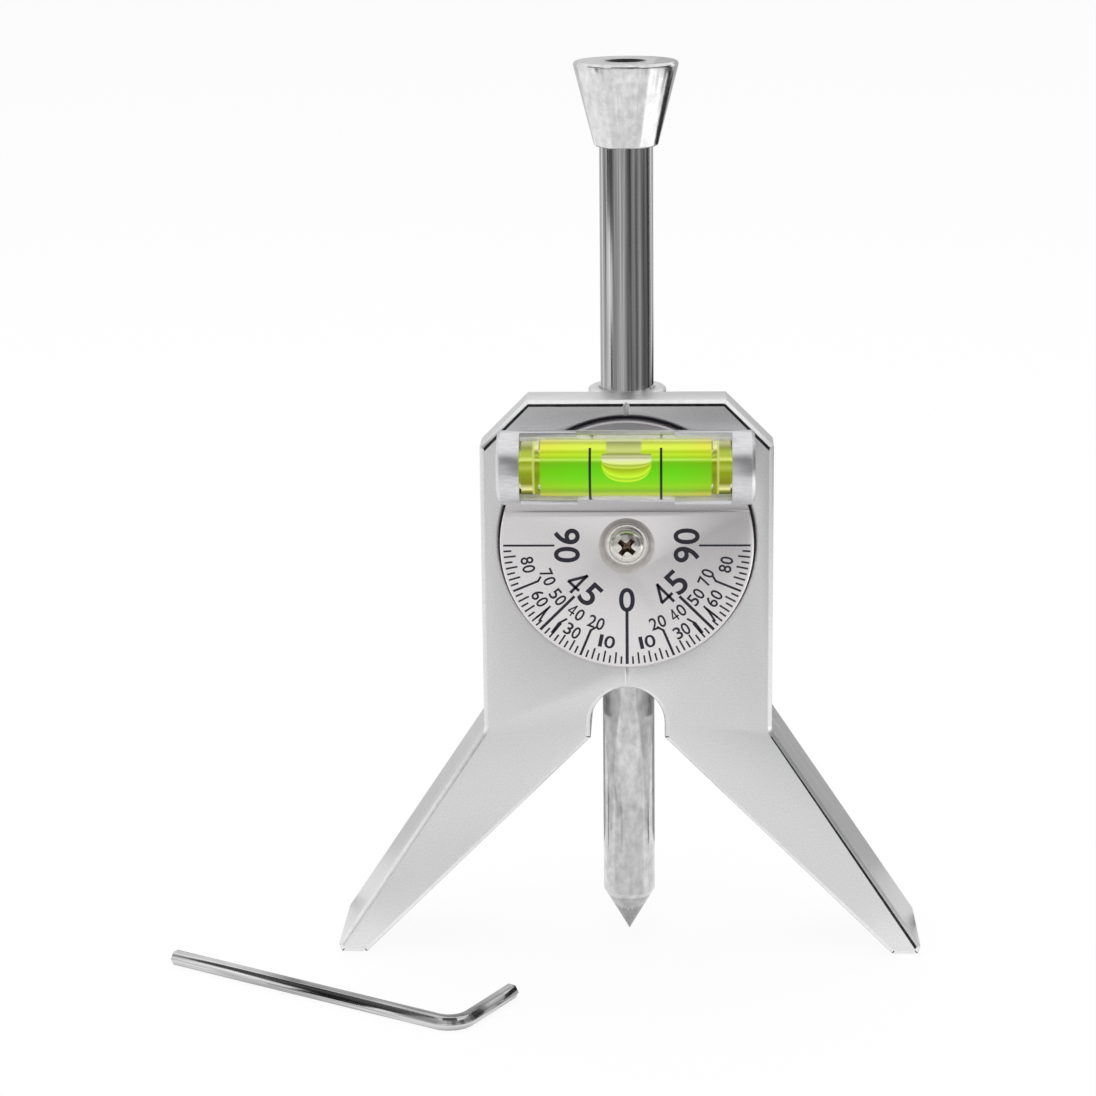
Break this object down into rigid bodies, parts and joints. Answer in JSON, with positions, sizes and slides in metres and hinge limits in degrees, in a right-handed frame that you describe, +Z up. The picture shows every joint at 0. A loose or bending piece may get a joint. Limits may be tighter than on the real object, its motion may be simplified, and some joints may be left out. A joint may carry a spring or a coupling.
{
  "type": "pipe center finder",
  "caption": "Y-shaped centring head with a 90 degree vee that straddles a pipe, a sliding centre punch behind it, and a turning graduated dial that carries a level vial.",
  "frame": {"origin": "tip of the punch at rest, on the punch's axis, in the plane that the two feet stand on", "axes": "+X right, +Y towards the back, +Z up along the punch"},
  "size_m": [0.1374, 0.0582, 0.162],
  "materials": {
    "head_aluminium": "satin, fine blasted grain, bright cut bevels",
    "punch_steel": "polished rod with a ground point",
    "cap_steel": "satin turned",
    "dial_aluminium": "satin, dark printed graduation",
    "screw_steel": "bright nickel plate",
    "bush_brass": "turned",
    "spring_steel": "plain spring steel",
    "tube_aluminium": "satin, bright cut edges",
    "clear_barrel": "clear, polished",
    "level_fluid": "clear, fluorescent green",
    "stopper_plastic": "translucent amber",
    "index_black": "matte black",
    "lock_steel": "black oxide",
    "pad_plastic": "natural nylon",
    "key_steel": "bright nickel plate"
  },
  "bodies": {
    "head": {"head_body": "head_aluminium", "pivot_screw": "screw_steel", "pivot_washer": "screw_steel", "pivot_bush": "bush_brass", "spring_washer": "spring_steel"},
    "dial": {"dial_disc": "dial_aluminium", "vial_tube": "tube_aluminium", "left_tube_plug": "tube_aluminium", "right_tube_plug": "tube_aluminium", "vial_barrel": "clear_barrel", "vial_fluid": "level_fluid", "left_stopper": "stopper_plastic", "right_stopper": "stopper_plastic", "left_index_ring": "index_black", "right_index_ring": "index_black"},
    "punch": {"punch_rod": "punch_steel", "striker_cap": "cap_steel"},
    "pad": {"lock_pad": "pad_plastic"},
    "lock": {"lock_screw": "lock_steel"},
    "key": {"hex_key": "key_steel"}
  },
  "joints": [
    {"name": "dial_turn", "type": "hinge", "parent": "head", "child": "dial", "pos_m": [0, -0.012, 0.07825], "axis": [0, 1, 0], "continuous": true},
    {"name": "punch_slide", "type": "slide", "parent": "head", "child": "punch", "axis": [0, 0, 1], "range_m": [-0.043, 0.044]},
    {"name": "pad_slide", "type": "slide", "parent": "head", "child": "pad", "axis": [0, 1, 0], "range_m": [0, 0.0016]},
    {"name": "lock_turn", "type": "hinge", "parent": "pad", "child": "lock", "pos_m": [0.015, -0.008, 0.07825], "axis": [0, 1, 0], "range_deg": [0, 720]},
    {"name": "key_lift", "type": "slide", "parent": "head", "child": "key", "axis": [0, 0, 1], "range_m": [0, 0.06]}
  ],
  "couplings": [
    {"joint": "lock_turn", "follows": "pad_slide", "rad_per_m": 7854}
  ]
}
